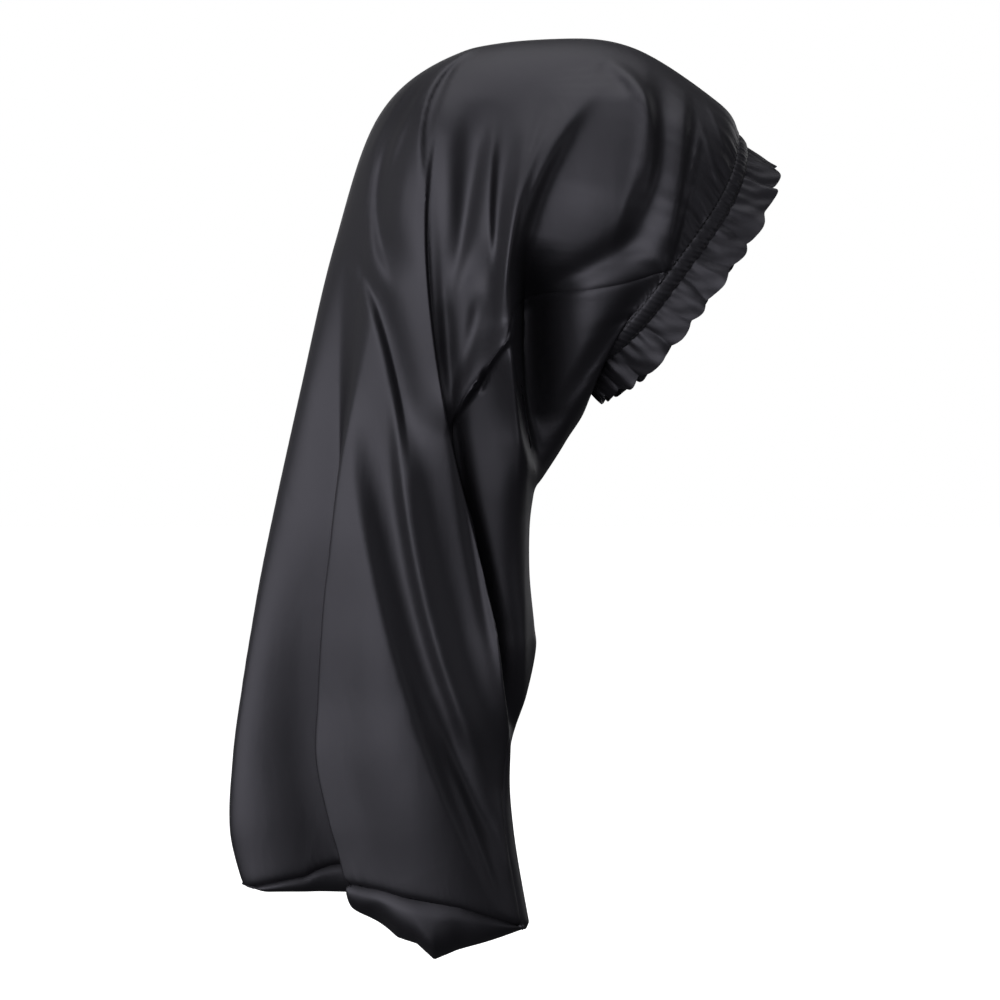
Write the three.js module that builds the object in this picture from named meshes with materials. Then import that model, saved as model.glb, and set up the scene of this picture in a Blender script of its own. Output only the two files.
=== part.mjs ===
// A long satin sleep bonnet for braids or long hair, as it is worn: a pillowcase-shaped bag with a gathered face
// opening. Two cloth panels are joined by side seams that start at the ears: the top panel goes over the crown and
// down the back, and the under panel starts at the nape, hangs in front of it and turns up to meet it at the closed
// bottom. An elastic casing and a ruffle finish the face opening.
//
// Millimetres, +Z up. The wearer faces -Y, the wearer's right side is at -X, and the origin is where the top of the
// head touches the inside of the crown.
import * as THREE from "three";

// Driving dimensions
const CLOTH = 1.2; // thickness of the panels
const SEAM_GAP = 0.95; // clearance between two sewn pieces
const CASING_WIDTH = 11;
const CASING_THICK = 2.4; // two layers of cloth round the elastic
const RUFFLE_WIDTH = 21;
const RUFFLE_THICK = 1;
const RUFFLE_WAVES = 29;
const RUFFLE_SWING = 3.6; // how far a wave stands out of the ruffle's mean surface, at its edge
const RUFFLE_SCALLOP = 1.4; // how far the edge moves in and out with the waves
const RIM_TAPER = 0.3; // how much the casing and the ruffle lean in towards the face
const CREST = 3.2; // height of the top of the crown above the origin, with the cloth

// Mesh resolution
const ROWS = 33; // along the bag, in both panels
const TOP_COLUMNS = 30;
const UNDER_COLUMNS = 22;
const CAP_ROWS = 4; // round the bottom
const CASING_COLUMNS = 72;
const POINTS_A_WAVE = 6;

// Sections of the bag from the face opening to the bottom seam. Each is a loop through a rear point and a fore point
// of the side outline. near and far are its half widths towards -X and +X, and bow moves the middle of the loop
// towards the face opening, most at bowAt, a share of the way from the rear point to the fore one.
const SECTION_COLUMNS = ["rearY", "rearZ", "foreY", "foreZ", "near", "far", "bow", "bowAt"];
const SECTION_ROWS = [
  [-88, -56, 26, -211, 74, 74, 17, 0.5],
  [-76, -38, 9, -229, 79, 79, 0, 0.5],
  [-22, -3, 22, -254, 82, 82, 0, 0.5],
  [29, CREST, 36, -276, 82, 82, -14, 0.6],
  [93, -7, 41, -283, 79, 79, 0, 0.5],
  [141, -45, 43, -291, 70, 67, 0, 0.5],
  [170, -128, 45, -309, 54, 54, 0, 0.5],
  [192, -222, 45, -339, 37, 42, 0, 0.5],
  [214, -323, 42, -371, 27, 35, 0, 0.5],
  [224, -378, 41, -387, 23, 32, 0, 0.5],
  [230, -416, 47, -416, 20, 32, 0, 0.5],
  [235, -454, 58, -454, 19, 31, 0, 0.5],
  [237, -502, 55, -504, 18, 28, 6, 0.4],
  [228, -540, 45, -563, 16, 20, 20, 0.37],
];

// The lobe of cloth that laps over the near side, and the two side seams, section by section. lobeRear and lobeFore
// are the places of its edges as shares of the way from the rear point to the fore one, rise is how far it stands
// proud and rearSoft is the half width of its rear edge. nearSeam and farSeam are shares too.
const SIDE_COLUMNS = ["lobeRear", "lobeFore", "rise", "rearSoft", "nearSeam", "farSeam"];
const SIDE_ROWS = [
  [0.1, -0.6, 0, 50, 0.55, 0.52],
  [0.1, -0.5, 0, 50, 0.612, 0.53],
  [0.1, -0.35, 0, 50, 0.63, 0.55],
  [0.1, -0.2, 0, 50, 0.605, 0.55],
  [0.05, 0.03, 3, 50, 0.66, 0.5],
  [0.05, 0.32, 8, 45, 0.68, 0.42],
  [0.143, 0.565, 12, 22, 0.63, 0.33],
  [0.2, 0.745, 18, 9, 0.79, 0.25],
  [0.265, 0.83, 23, 6, 0.87, 0.17],
  [0.285, 0.855, 25, 6, 0.895, 0.12],
  [0.31, 0.913, 26, 6, 0.94, 0.08],
  [0.345, 1.02, 27, 6, 0.97, 0.05],
  [0.395, 1.08, 27, 6, 0.975, 0.03],
  [0.385, 1.1, 27, 6, 0.975, 0.025],
];
const FORE_SOFT = 6; // half width of the lobe's fore edge
const LOBE_LEAN = 0.45; // how far an edge laps over, as a share of the rise
const REAR_BUNCH = 12; // rise at which the lobe's rear edge has twice as many facets as the rest
const FORE_BUNCH = 16; // and its fore edge
const LOBE_EDGE = 0.32; // share of the rise at the lobe's rear edge itself
const LOBE_ROLL = 38; // length over which the lobe rolls up to the rest
const LOBE_HOLLOW = 0.6; // how deep the cloth sinks behind the lobe, as a share of the rise
const LOBE_HOLLOW_WIDTH = 42;

// How far the bottom seam rises above the line between the bottom corners on the near side, by the share of the way
// from the rear corner. It steps down where the lobe begins.
const HEM_ROWS = [
  [0, 0], [0.14, 9], [0.21, 13], [0.25, 18], [0.34, 26], [0.38, 15], [0.55, 11], [0.76, 9], [0.91, 4], [1, 0],
];

// The underside of the bag: how far it hangs below the line between the bottom corners, by the share of the way from
// the rear corner to the fore one
const SAG_ROWS = [[0, 0], [0.37, -5], [0.43, 4], [0.53, 17], [0.6, 19], [0.66, 28], [0.74, 20], [1, 1]];

// Folds, as curves on the side view: from a start by way of a control point to an end. height is how far a fold stands
// out of the cloth, or sinks in if negative; ahead and behind are its half widths towards the face and the back at its
// end, and splay is how many times wider it starts.
const FOLD_COLUMNS = ["side", "y0", "z0", "y1", "z1", "y2", "z2", "height", "ahead", "behind", "splay"];
const NEAR = -1;
const FAR = 1;
const FOLD_ROWS = [
  [NEAR, 45, -127, 56, -203, 38, -286, -40, 32, 4, 0.8], // hollow behind the jaw
  [NEAR, -36, -148, -6, -185, 38, -253, -5, 5, 7, 1], // groove beside the rolled edge of the under panel
  [NEAR, -4, -25, 83, -117, 50, -253, 11, 4.2, 8, 1.8], // edge that drops from the crown to the pinch
  [NEAR, 61, -179, 53, -223, 40, -288, 11, 3.5, 14, 1], // edge of the cloth below the pinch
  [NEAR, 47, -234, 49, -326, 49, -458, 14, 4, 24, 1], // cloth below the pinch, towards the front
  [NEAR, 101, -42, 104, -250, 54, -445, -5, 7, 5, 1], // shadow beside the lobe
  [NEAR, 35, 10, 133, 0, 109, -109, 7, 2.4, 9, 1], // top of the lobe
  [NEAR, 40, -35, 61, -113, 64, -192, 5.5, 3, 5.5, 1.8], // folds that run up from the pinch
  [NEAR, 68, -48, 73, -102, 70, -157, 6.5, 3.2, 10, 1.5],
  [NEAR, 97, -16, 96, -99, 97, -182, 8, 7, 6, 2.4],
  [NEAR, -32, -122, 2, -146, 49, -167, -5, 8, 7, 1.2], // valley under the bulge over the ear
  [NEAR, -23, -10, -33, -68, 3, -148, 9, 8, 38, 1], // bulge over the ear
  [NEAR, 6, -13, -54, -36, -14, -131, 7, 5, 7, 0.9], // arc round the bulge
  [NEAR, -51, -25, -52, -85, -33, -163, 7, 4, 13, 1.1], // ridge that drops to the ear
  [NEAR, 51, -184, 72, -205, 102, -253, 9, 2.5, 14, 0.8], // cloth that laps over the pinch
  [NEAR, 129, -54, 154, -109, 125, -163, -7.5, 12, 5.5, 0.8], // folds down the lobe
  [NEAR, 156, -135, 127, -186, 118, -278, -7, 12, 4.5, 0.8],
  [NEAR, 163, -211, 156, -389, 51, -586, 13, 9, 38, 1.4],
  [NEAR, 129, -208, 125, -370, 59, -486, 9.5, 13, 6.5, 0.8],
  [NEAR, 105, -413, 84, -481, 59, -519, -3.5, 5, 5, 1],
  [NEAR, 73, -39, 86, -106, 96, -171, -9, 4, 7, 3], // hollow beside the folds from the pinch
  [FAR, 20, -30, -10, -110, 10, -190, 5, 12, 18, 1],
  [FAR, 90, -60, 110, -180, 130, -330, 8, 10, 22, 1],
  [FAR, 130, -170, 150, -330, 150, -520, -7, 14, 12, 1],
  [FAR, 60, -150, 90, -330, 100, -520, 7, 12, 16, 1],
];
const FOLD_STEPS = 16; // straight stretches that stand for a fold's curve
const FOLD_FADE = 0.3; // share of its length over which a fold fades out at each end
const FOLD_LEAST = 10; // least half width of a fold's flank that the facets can follow

const named = (columns, rows) => rows.map((row) => Object.fromEntries(columns.map((name, i) => [name, row[i]])));
const SECTIONS = named(
  [...SECTION_COLUMNS, ...SIDE_COLUMNS],
  SECTION_ROWS.map((row, i) => [...row, ...SIDE_ROWS[i]]),
);
const FOLDS = named(FOLD_COLUMNS, FOLD_ROWS);
const LAST = SECTIONS.length - 1;
const COLUMN_NAMES = Object.keys(SECTIONS[0]);

const clamp = (x, low, high) => Math.min(high, Math.max(low, x));
const smooth = (x) => x * x * (3 - 2 * x);
const step = (x) => smooth(clamp((x + 1) / 2, 0, 1));
const mix = (a, b, u) => a + (b - a) * u;

// A table's value at a share, on straight lines through its rows
function tableAt(rows, share) {
  const i = clamp(rows.findIndex(([at]) => at >= share), 1, rows.length - 1);
  const [[a, low], [b, high]] = [rows[i - 1], rows[i]];
  return mix(low, high, clamp((share - a) / (b - a), 0, 1));
}

// One value of the smooth curve through four neighbouring sections
function catmull(a, b, c, d, u) {
  return b + 0.5 * u * (c - a + u * (2 * a - 5 * b + 4 * c - d + u * (3 * (b - c) + d - a)));
}

function sectionAt(v) {
  const i = clamp(Math.floor(v), 0, LAST - 1);
  const at = (k) => SECTIONS[clamp(k, 0, LAST)];
  const section = {};
  for (const name of COLUMN_NAMES) {
    section[name] = catmull(at(i - 1)[name], at(i)[name], at(i + 1)[name], at(i + 2)[name], v - i);
  }
  section.chordY = section.foreY - section.rearY;
  section.chordZ = section.foreZ - section.rearZ;
  section.chord = Math.hypot(section.chordY, section.chordZ);
  return section;
}

// A fold's curve as points on the side view
const foldPaths = FOLDS.map((fold) => {
  const path = [];
  for (let i = 0; i <= FOLD_STEPS; i++) {
    const u = i / FOLD_STEPS;
    const [a, b, c] = [(1 - u) ** 2, 2 * u * (1 - u), u * u];
    path.push([a * fold.y0 + b * fold.y1 + c * fold.y2, a * fold.z0 + b * fold.z1 + c * fold.z2]);
  }
  return path;
});

// How far one fold lifts the cloth at a point of the side view
function foldLift(fold, path, y, z) {
  let nearest = { distance: Infinity, along: 0, ahead: false };
  for (let i = 0; i < FOLD_STEPS; i++) {
    const [ay, az] = path[i];
    const [dy, dz] = [path[i + 1][0] - ay, path[i + 1][1] - az];
    const u = clamp(((y - ay) * dy + (z - az) * dz) / (dy * dy + dz * dz), 0, 1);
    const [ey, ez] = [y - ay - u * dy, z - az - u * dz];
    const distance = Math.hypot(ey, ez);
    if (distance < nearest.distance) {
      nearest = { distance, along: (i + u) / FOLD_STEPS, ahead: ey * dz - ez * dy > 0 };
    }
  }
  const width = Math.max(FOLD_LEAST, (nearest.ahead ? fold.ahead : fold.behind) * mix(fold.splay, 1, nearest.along));
  const end = clamp(Math.min(nearest.along, 1 - nearest.along) / FOLD_FADE, 0, 1);
  return fold.height * smooth(end) * Math.exp(-((nearest.distance / width) ** 2));
}

const shareOf = (w) => (1 - Math.cos(Math.PI * Math.abs(w))) / 2;
const placeOf = (share) => Math.acos(1 - 2 * clamp(share, 0, 1)) / Math.PI;
const turned = (w) => (w > 1 ? w - 2 : w);

// The cloth's outer surface. v counts sections from the face opening, and w goes round the bag: 0 is the rear, -1 and
// 1 are the fore, and the near side lies between -1 and 0.
function clothPoint(v, place, folded = true) {
  const w = turned(place);
  const s = sectionAt(v);
  const side = w < 0 ? NEAR : FAR;
  const share = shareOf(w);
  const open = Math.abs(Math.sin(Math.PI * w));
  let depth = (side === NEAR ? s.near : s.far) * open ** 0.9;
  let along = share * s.chord;
  if (side === NEAR && s.rise > 0) {
    const rear = (share - s.lobeRear) * s.chord;
    const fore = (share - s.lobeFore) * s.chord;
    const roll = 1 - Math.exp(-Math.max(rear, 0) / LOBE_ROLL);
    const edge = step(rear / s.rearSoft);
    const lobe = mix(roll, edge, LOBE_EDGE) * (1 - step(fore / FORE_SOFT));
    const hollow = LOBE_HOLLOW * (1 - edge) * Math.exp(-((rear / LOBE_HOLLOW_WIDTH) ** 2));
    depth += s.rise * (lobe - hollow) * open ** 0.4;
    for (const [distance, soft] of [[rear, s.rearSoft], [fore, FORE_SOFT]]) {
      const steps = distance / soft;
      along -= (FORE_SOFT / soft) * LOBE_LEAN * s.rise * open * steps * Math.exp((1 - steps * steps) / 2);
    }
  }
  const middle = Math.sin(Math.PI * share ** (Math.log(0.5) / Math.log(s.bowAt)));
  let bow = s.bow * (1 - (1 - middle) ** 2);
  if (side === NEAR) bow = mix(bow, tableAt(HEM_ROWS, share), smooth(clamp(v - LAST + 1, 0, 1)));
  const y = s.rearY + (s.chordY * along + s.chordZ * bow) / s.chord;
  const z = s.rearZ + (s.chordZ * along - s.chordY * bow) / s.chord;
  FOLDS.forEach((fold, i) => {
    if (folded && fold.side === side) depth += foldLift(fold, foldPaths[i], y, z) * open ** 0.5;
  });
  return new THREE.Vector3(side * depth, y, z);
}

const SLOPE_STEP = 0.004;
function clothNormal(v, w) {
  const low = clothPoint(Math.max(0, v - SLOPE_STEP), w);
  const high = clothPoint(Math.min(LAST, v + SLOPE_STEP), w);
  const before = clothPoint(v, w - SLOPE_STEP);
  const after = clothPoint(v, w + SLOPE_STEP);
  return after.sub(before).cross(high.sub(low)).normalize();
}

// Places round a section from one w to another, closer together at the lobe's edges
function placesOf(v, from, to, count) {
  const samples = 200;
  const s = sectionAt(v);
  const weights = [0];
  let before = clothPoint(v, from, false);
  for (let i = 1; i <= samples; i++) {
    const w = mix(from, to, i / samples);
    const here = clothPoint(v, w, false);
    let density = 1;
    if (turned(w) < 0) {
      for (const [edge, bunch] of [[s.lobeRear, REAR_BUNCH], [Math.min(s.lobeFore, s.nearSeam), FORE_BUNCH]]) {
        const distance = (shareOf(turned(w)) - edge) * s.chord;
        density += (Math.max(s.rise, 0) / bunch) * Math.exp(-((distance / (2 * FORE_SOFT)) ** 2));
      }
    }
    weights.push(weights[i - 1] + density * here.distanceTo(before));
    before = here;
  }
  const places = [];
  let i = 0;
  for (let k = 0; k <= count; k++) {
    const target = (weights[samples] * k) / count;
    while (i < samples - 1 && weights[i + 1] < target) i++;
    const u = clamp((target - weights[i]) / (weights[i + 1] - weights[i]), 0, 1);
    places.push(mix(from, to, (i + u) / samples));
  }
  return places;
}

// A closed wall between an outer grid of points and an inner one
function wall(outer, inner, closedRound = false) {
  const rows = outer.length;
  const columns = outer[0].length;
  const positions = [...outer.flat(), ...inner.flat()].flatMap((p) => [p.x, p.y, p.z]);
  const faces = [];
  const at = (layer, i, j) => (layer * rows + i) * columns + (j % columns);
  const quad = (a, b, c, d) => faces.push(a, b, c, a, c, d);
  const spans = closedRound ? columns : columns - 1;
  const end = rows - 1;
  for (let i = 0; i < end; i++) {
    for (let j = 0; j < spans; j++) {
      quad(at(0, i, j), at(0, i, j + 1), at(0, i + 1, j + 1), at(0, i + 1, j));
      quad(at(1, i, j), at(1, i + 1, j), at(1, i + 1, j + 1), at(1, i, j + 1));
    }
  }
  for (let j = 0; j < spans; j++) {
    quad(at(1, 0, j), at(1, 0, j + 1), at(0, 0, j + 1), at(0, 0, j));
    quad(at(0, end, j), at(0, end, j + 1), at(1, end, j + 1), at(1, end, j));
  }
  if (!closedRound) {
    for (let i = 0; i < end; i++) {
      quad(at(0, i, 0), at(0, i + 1, 0), at(1, i + 1, 0), at(1, i, 0));
      quad(at(1, i, spans), at(1, i + 1, spans), at(0, i + 1, spans), at(0, i, spans));
    }
  }
  const geometry = new THREE.BufferGeometry();
  geometry.setAttribute("position", new THREE.Float32BufferAttribute(positions, 3));
  geometry.setIndex(faces);
  return geometry;
}

const inward = (point, normal, distance) => point.clone().addScaledVector(normal, -distance);

// Both ends of the turn from one seam to the other, drawn in
function seamToSeam(v, from, to, drawIn = SEAM_GAP / 2) {
  const turn = (w) => (drawIn * SLOPE_STEP) / clothPoint(v, w).distanceTo(clothPoint(v, w + SLOPE_STEP));
  return [from + turn(from), to - turn(to)];
}

const rowAt = (i) => (LAST * i) / ROWS;

const CORNER_CUT = 1.6; // the top panel's lower corners are cut off by this much

function topPanel() {
  const outer = [];
  const inner = [];
  for (let i = 0; i <= ROWS; i++) {
    const v = rowAt(i);
    const s = sectionAt(v);
    const drawIn = i === ROWS ? CORNER_CUT : SEAM_GAP / 2;
    const places = placesOf(v, ...seamToSeam(v, -placeOf(s.nearSeam), placeOf(s.farSeam), drawIn), TOP_COLUMNS);
    outer.push(places.map((w) => clothPoint(v, w)));
    inner.push(places.map((w, j) => inward(outer[i][j], clothNormal(v, w), CLOTH)));
  }
  return wall(outer, inner);
}

const CAP_START = LAST - 0.15; // the under panel's last section, above the bottom seam
const REAR_TURN = 0.15; // shares of the bottom over which its columns turn round the corners
const FORE_TURN = 0.4;

// The rounded underside, from the under panel's last section to the top panel's lower edge
function capPoint(u, share, from, to, line) {
  const across = shareOf(turned(share.meets));
  const lowest = mix(line.rearZ, line.foreZ, across) - tableAt(SAG_ROWS, across);
  const corner = clamp(Math.min(share.turn, 1 - share.turn) / 0.1, 0, 1);
  const dip = Math.max(0, mix(from.z, to.z, 0.5) - lowest) * smooth(corner);
  const turn = Math.PI * u;
  return new THREE.Vector3(
    (from.x + to.x) / 2 + ((from.x - to.x) / 2) * Math.cos(turn),
    mix(from.y, to.y, u),
    mix(from.z, to.z, u) - dip * Math.sin(turn) ** 0.75,
  );
}

function underPanel() {
  const outer = [];
  const inner = [];
  let places;
  for (let i = 0; i <= ROWS; i++) {
    const v = Math.min(rowAt(i), CAP_START);
    const s = sectionAt(v);
    places = placesOf(v, ...seamToSeam(v, placeOf(s.farSeam), 2 - placeOf(s.nearSeam)), UNDER_COLUMNS);
    outer.push(places.map((w) => clothPoint(v, w)));
    inner.push(places.map((w, j) => inward(outer[i][j], clothNormal(v, w), CLOTH)));
  }
  const line = sectionAt(LAST);
  const [rearPlace, forePlace] = [placeOf(line.farSeam), placeOf(line.nearSeam)];
  const first = places[0];
  const last = places[UNDER_COLUMNS];
  const hem = places.map((w) => {
    const turn = (w - first) / (last - first);
    const rear = 2 * rearPlace * Math.max(0, 1 - turn / REAR_TURN) ** 2;
    const fore = 2 * (1 - forePlace) * Math.max(0, 1 - (1 - turn) / FORE_TURN) ** 2;
    return { turn, meets: clamp(rear + fore - w, -forePlace, rearPlace) };
  });
  for (let k = 1; k <= CAP_ROWS; k++) {
    const u = k / CAP_ROWS;
    outer.push(
      hem.map((share, j) => {
        const to = clothPoint(LAST, share.meets);
        to.z -= 2.5 * SEAM_GAP;
        return capPoint(u, share, outer[ROWS][j], to, line);
      }),
    );
  }
  for (let k = 1; k <= CAP_ROWS; k++) {
    const i = ROWS + k;
    inner.push(
      outer[i].map((point, j) => {
        const atSeam = k === CAP_ROWS || j === 0 || j === UNDER_COLUMNS;
        if (atSeam) return inward(point, clothNormal(LAST, hem[j].meets), CLOTH);
        const across = outer[i][j + 1].clone().sub(outer[i][j - 1]);
        const along = outer[i + 1][j].clone().sub(outer[i - 1][j]);
        return inward(point, across.cross(along).normalize(), CLOTH);
      }),
    );
  }
  return wall(outer, inner);
}

// The elastic's casing and the ruffle go on from the face opening. A point is given by its place round the opening
// and its distance from the panels.
const rim = sectionAt(0);
const RIM_FORWARD = new THREE.Vector3(0, rim.chordZ / rim.chord, -rim.chordY / rim.chord);
const RIM_CENTRE = new THREE.Vector3(0, (rim.rearY + rim.foreY) / 2, (rim.rearZ + rim.foreZ) / 2);

function rimFrame(w) {
  const origin = clothPoint(0, w);
  const tangent = clothPoint(0, w + SLOPE_STEP).sub(clothPoint(0, w - SLOPE_STEP)).normalize();
  const inwards = RIM_CENTRE.clone().sub(origin);
  inwards.addScaledVector(RIM_FORWARD, -inwards.dot(RIM_FORWARD)).normalize();
  const ahead = RIM_FORWARD.clone().addScaledVector(inwards, RIM_TAPER);
  ahead.addScaledVector(tangent, -ahead.dot(tangent)).normalize();
  return { origin, ahead, out: ahead.clone().cross(tangent).normalize() };
}

// A closed band round the opening. profile gives rows of [distance from the panels, height above the rim], and
// shape moves a point of it by its turn round the opening and its share of the way across.
function rimBand(count, profile, thick, shape = () => [0, 0]) {
  const frames = placesOf(0, -1, 1, count).slice(1).reverse().map(rimFrame);
  const layer = (depth) =>
    profile.map(([distance, height], row) =>
      frames.map(({ origin, ahead, out }, j) => {
        const [further, higher] = shape(j / count, row / (profile.length - 1));
        return origin
          .clone()
          .addScaledVector(ahead, distance + further)
          .addScaledVector(out, height + higher - depth);
      }),
    );
  return wall(layer(0), layer(thick), true);
}

const CASING_END = SEAM_GAP + CASING_WIDTH;
const CASING_INSET = 1.6; // its edges lie this far inside the cloth, which puffs over it
const CASING_CREST = 0.6; // its middle stands this much higher than its stitched edges

function casing() {
  const low = -CASING_INSET;
  const profile = [[SEAM_GAP, low], [SEAM_GAP + CASING_WIDTH / 2, low + CASING_CREST], [CASING_END, low]];
  return rimBand(CASING_COLUMNS, profile, CASING_THICK);
}

function ruffle() {
  const start = CASING_END + SEAM_GAP;
  const profile = [0, 1 / 3, 2 / 3, 1].map((u) => [start + RUFFLE_WIDTH * u, -CASING_INSET - 0.7]);
  return rimBand(RUFFLE_WAVES * POINTS_A_WAVE, profile, RUFFLE_THICK, (turn, u) => {
    const wave = Math.sin(2 * Math.PI * RUFFLE_WAVES * turn);
    return [RUFFLE_SCALLOP * wave * u ** 2, RUFFLE_SWING * wave * u];
  });
}

const satin = new THREE.MeshStandardMaterial({ color: 0x0d0d10, roughness: 0.34, metalness: 0 });
satin.name = "satin";

const group = new THREE.Group();
group.name = "hair_bonnet";
const pieces = [
  ["top_panel", topPanel(), satin],
  ["under_panel", underPanel(), satin],
  ["elastic_casing", casing(), satin],
  ["ruffle", ruffle(), satin],
];
for (const [name, geometry, material] of pieces) {
  geometry.computeVertexNormals();
  const mesh = new THREE.Mesh(geometry, material);
  mesh.name = name;
  group.add(mesh);
}

export default group;
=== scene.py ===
"""A long black satin sleep bonnet, as it is worn: two panels of cloth with a gathered, ruffled face opening."""

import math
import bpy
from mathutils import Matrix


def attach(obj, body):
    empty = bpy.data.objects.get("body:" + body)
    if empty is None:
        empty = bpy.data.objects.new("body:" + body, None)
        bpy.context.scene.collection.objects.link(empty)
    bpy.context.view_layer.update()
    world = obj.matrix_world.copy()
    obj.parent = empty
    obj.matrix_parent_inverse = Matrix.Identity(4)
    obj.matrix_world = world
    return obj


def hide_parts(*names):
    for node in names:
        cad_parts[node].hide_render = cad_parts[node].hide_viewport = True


bl_info = {
    "name": "Satin Braid Bonnet",
    "version": (1, 0, 0),
    "blender": (4, 5, 0),
    "location": "3D View > Sidebar > Bonnet",
    "description": "Builds a worn satin bonnet from its sections, folds, casing and ruffle",
    "category": "Object",
}

import bpy
import numpy as np
from bpy.props import FloatProperty, FloatVectorProperty, IntProperty, PointerProperty
from mathutils import Vector

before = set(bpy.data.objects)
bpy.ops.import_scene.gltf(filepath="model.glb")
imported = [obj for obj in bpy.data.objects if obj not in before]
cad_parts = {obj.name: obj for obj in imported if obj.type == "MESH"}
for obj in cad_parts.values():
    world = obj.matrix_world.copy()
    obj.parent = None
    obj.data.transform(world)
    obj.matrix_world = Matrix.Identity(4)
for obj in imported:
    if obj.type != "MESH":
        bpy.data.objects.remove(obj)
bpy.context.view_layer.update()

MM = 0.001
NEAR = -1
FAR = 1

# Sections of the bag from the face opening to the bottom seam, in millimetres. Each is a loop through a rear point
# and a fore point of the side outline. near and far are its half widths towards -X and +X, and bow moves the middle
# of the loop towards the face opening, most at bow_at, a share of the way from the rear point to the fore one.
SECTION_COLUMNS = ("rear_y", "rear_z", "fore_y", "fore_z", "near", "far", "bow", "bow_at")
SECTION_ROWS = (
    (-88, -56, 26, -211, 74, 74, 17, 0.5),
    (-76, -38, 9, -229, 79, 79, 0, 0.5),
    (-22, -3, 22, -254, 82, 82, 0, 0.5),
    (29, 3.2, 36, -276, 82, 82, -14, 0.6),
    (93, -7, 41, -283, 79, 79, 0, 0.5),
    (141, -45, 43, -291, 70, 67, 0, 0.5),
    (170, -128, 45, -309, 54, 54, 0, 0.5),
    (192, -222, 45, -339, 37, 42, 0, 0.5),
    (214, -323, 42, -371, 27, 35, 0, 0.5),
    (224, -378, 41, -387, 23, 32, 0, 0.5),
    (230, -416, 47, -416, 20, 32, 0, 0.5),
    (235, -454, 58, -454, 19, 31, 0, 0.5),
    (237, -502, 55, -504, 18, 28, 6, 0.4),
    (228, -540, 45, -563, 16, 20, 20, 0.37),
)

# The lobe of cloth that laps over the near side, and the two side seams. lobe_rear and lobe_fore are the places of
# its edges as shares of the way from the rear point to the fore one, rise is how far it stands proud and rear_soft
# is the half width of its rear edge. near_seam and far_seam are shares too.
SIDE_COLUMNS = ("lobe_rear", "lobe_fore", "rise", "rear_soft", "near_seam", "far_seam")
SIDE_ROWS = (
    (0.1, -0.6, 0, 50, 0.55, 0.52),
    (0.1, -0.5, 0, 50, 0.612, 0.53),
    (0.1, -0.35, 0, 50, 0.63, 0.55),
    (0.1, -0.2, 0, 50, 0.605, 0.55),
    (0.05, 0.03, 3, 50, 0.66, 0.5),
    (0.05, 0.32, 8, 45, 0.68, 0.42),
    (0.143, 0.565, 12, 22, 0.63, 0.33),
    (0.2, 0.745, 18, 9, 0.79, 0.25),
    (0.265, 0.83, 23, 6, 0.87, 0.17),
    (0.285, 0.855, 25, 6, 0.895, 0.12),
    (0.31, 0.913, 26, 6, 0.94, 0.08),
    (0.345, 1.02, 27, 6, 0.97, 0.05),
    (0.395, 1.08, 27, 6, 0.975, 0.03),
    (0.385, 1.1, 27, 6, 0.975, 0.025),
)
FORE_SOFT = 6.0  # half width of the lobe's fore edge
LOBE_LEAN = 0.45  # how far an edge laps over, as a share of the rise
LOBE_EDGE = 0.32  # share of the rise at the lobe's rear edge itself
LOBE_ROLL = 38.0  # length over which the lobe rolls up to the rest
LOBE_HOLLOW = 0.6  # how deep the cloth sinks behind the lobe, as a share of the rise
LOBE_HOLLOW_WIDTH = 42.0

# How far the bottom seam rises above the line between the bottom corners on the near side, by the same share. It
# steps down where the lobe begins. Rows are (share, rise).
HEM_ROWS = (
    (0, 0),
    (0.14, 9),
    (0.21, 13),
    (0.25, 18),
    (0.34, 26),
    (0.38, 15),
    (0.55, 11),
    (0.76, 9),
    (0.91, 4),
    (1, 0),
)

# How far the underside hangs below that line. Rows are (share, drop).
SAG_ROWS = (
    (0, 0),
    (0.37, -5),
    (0.43, 4),
    (0.53, 17),
    (0.6, 19),
    (0.66, 28),
    (0.74, 20),
    (1, 1),
)

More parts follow.
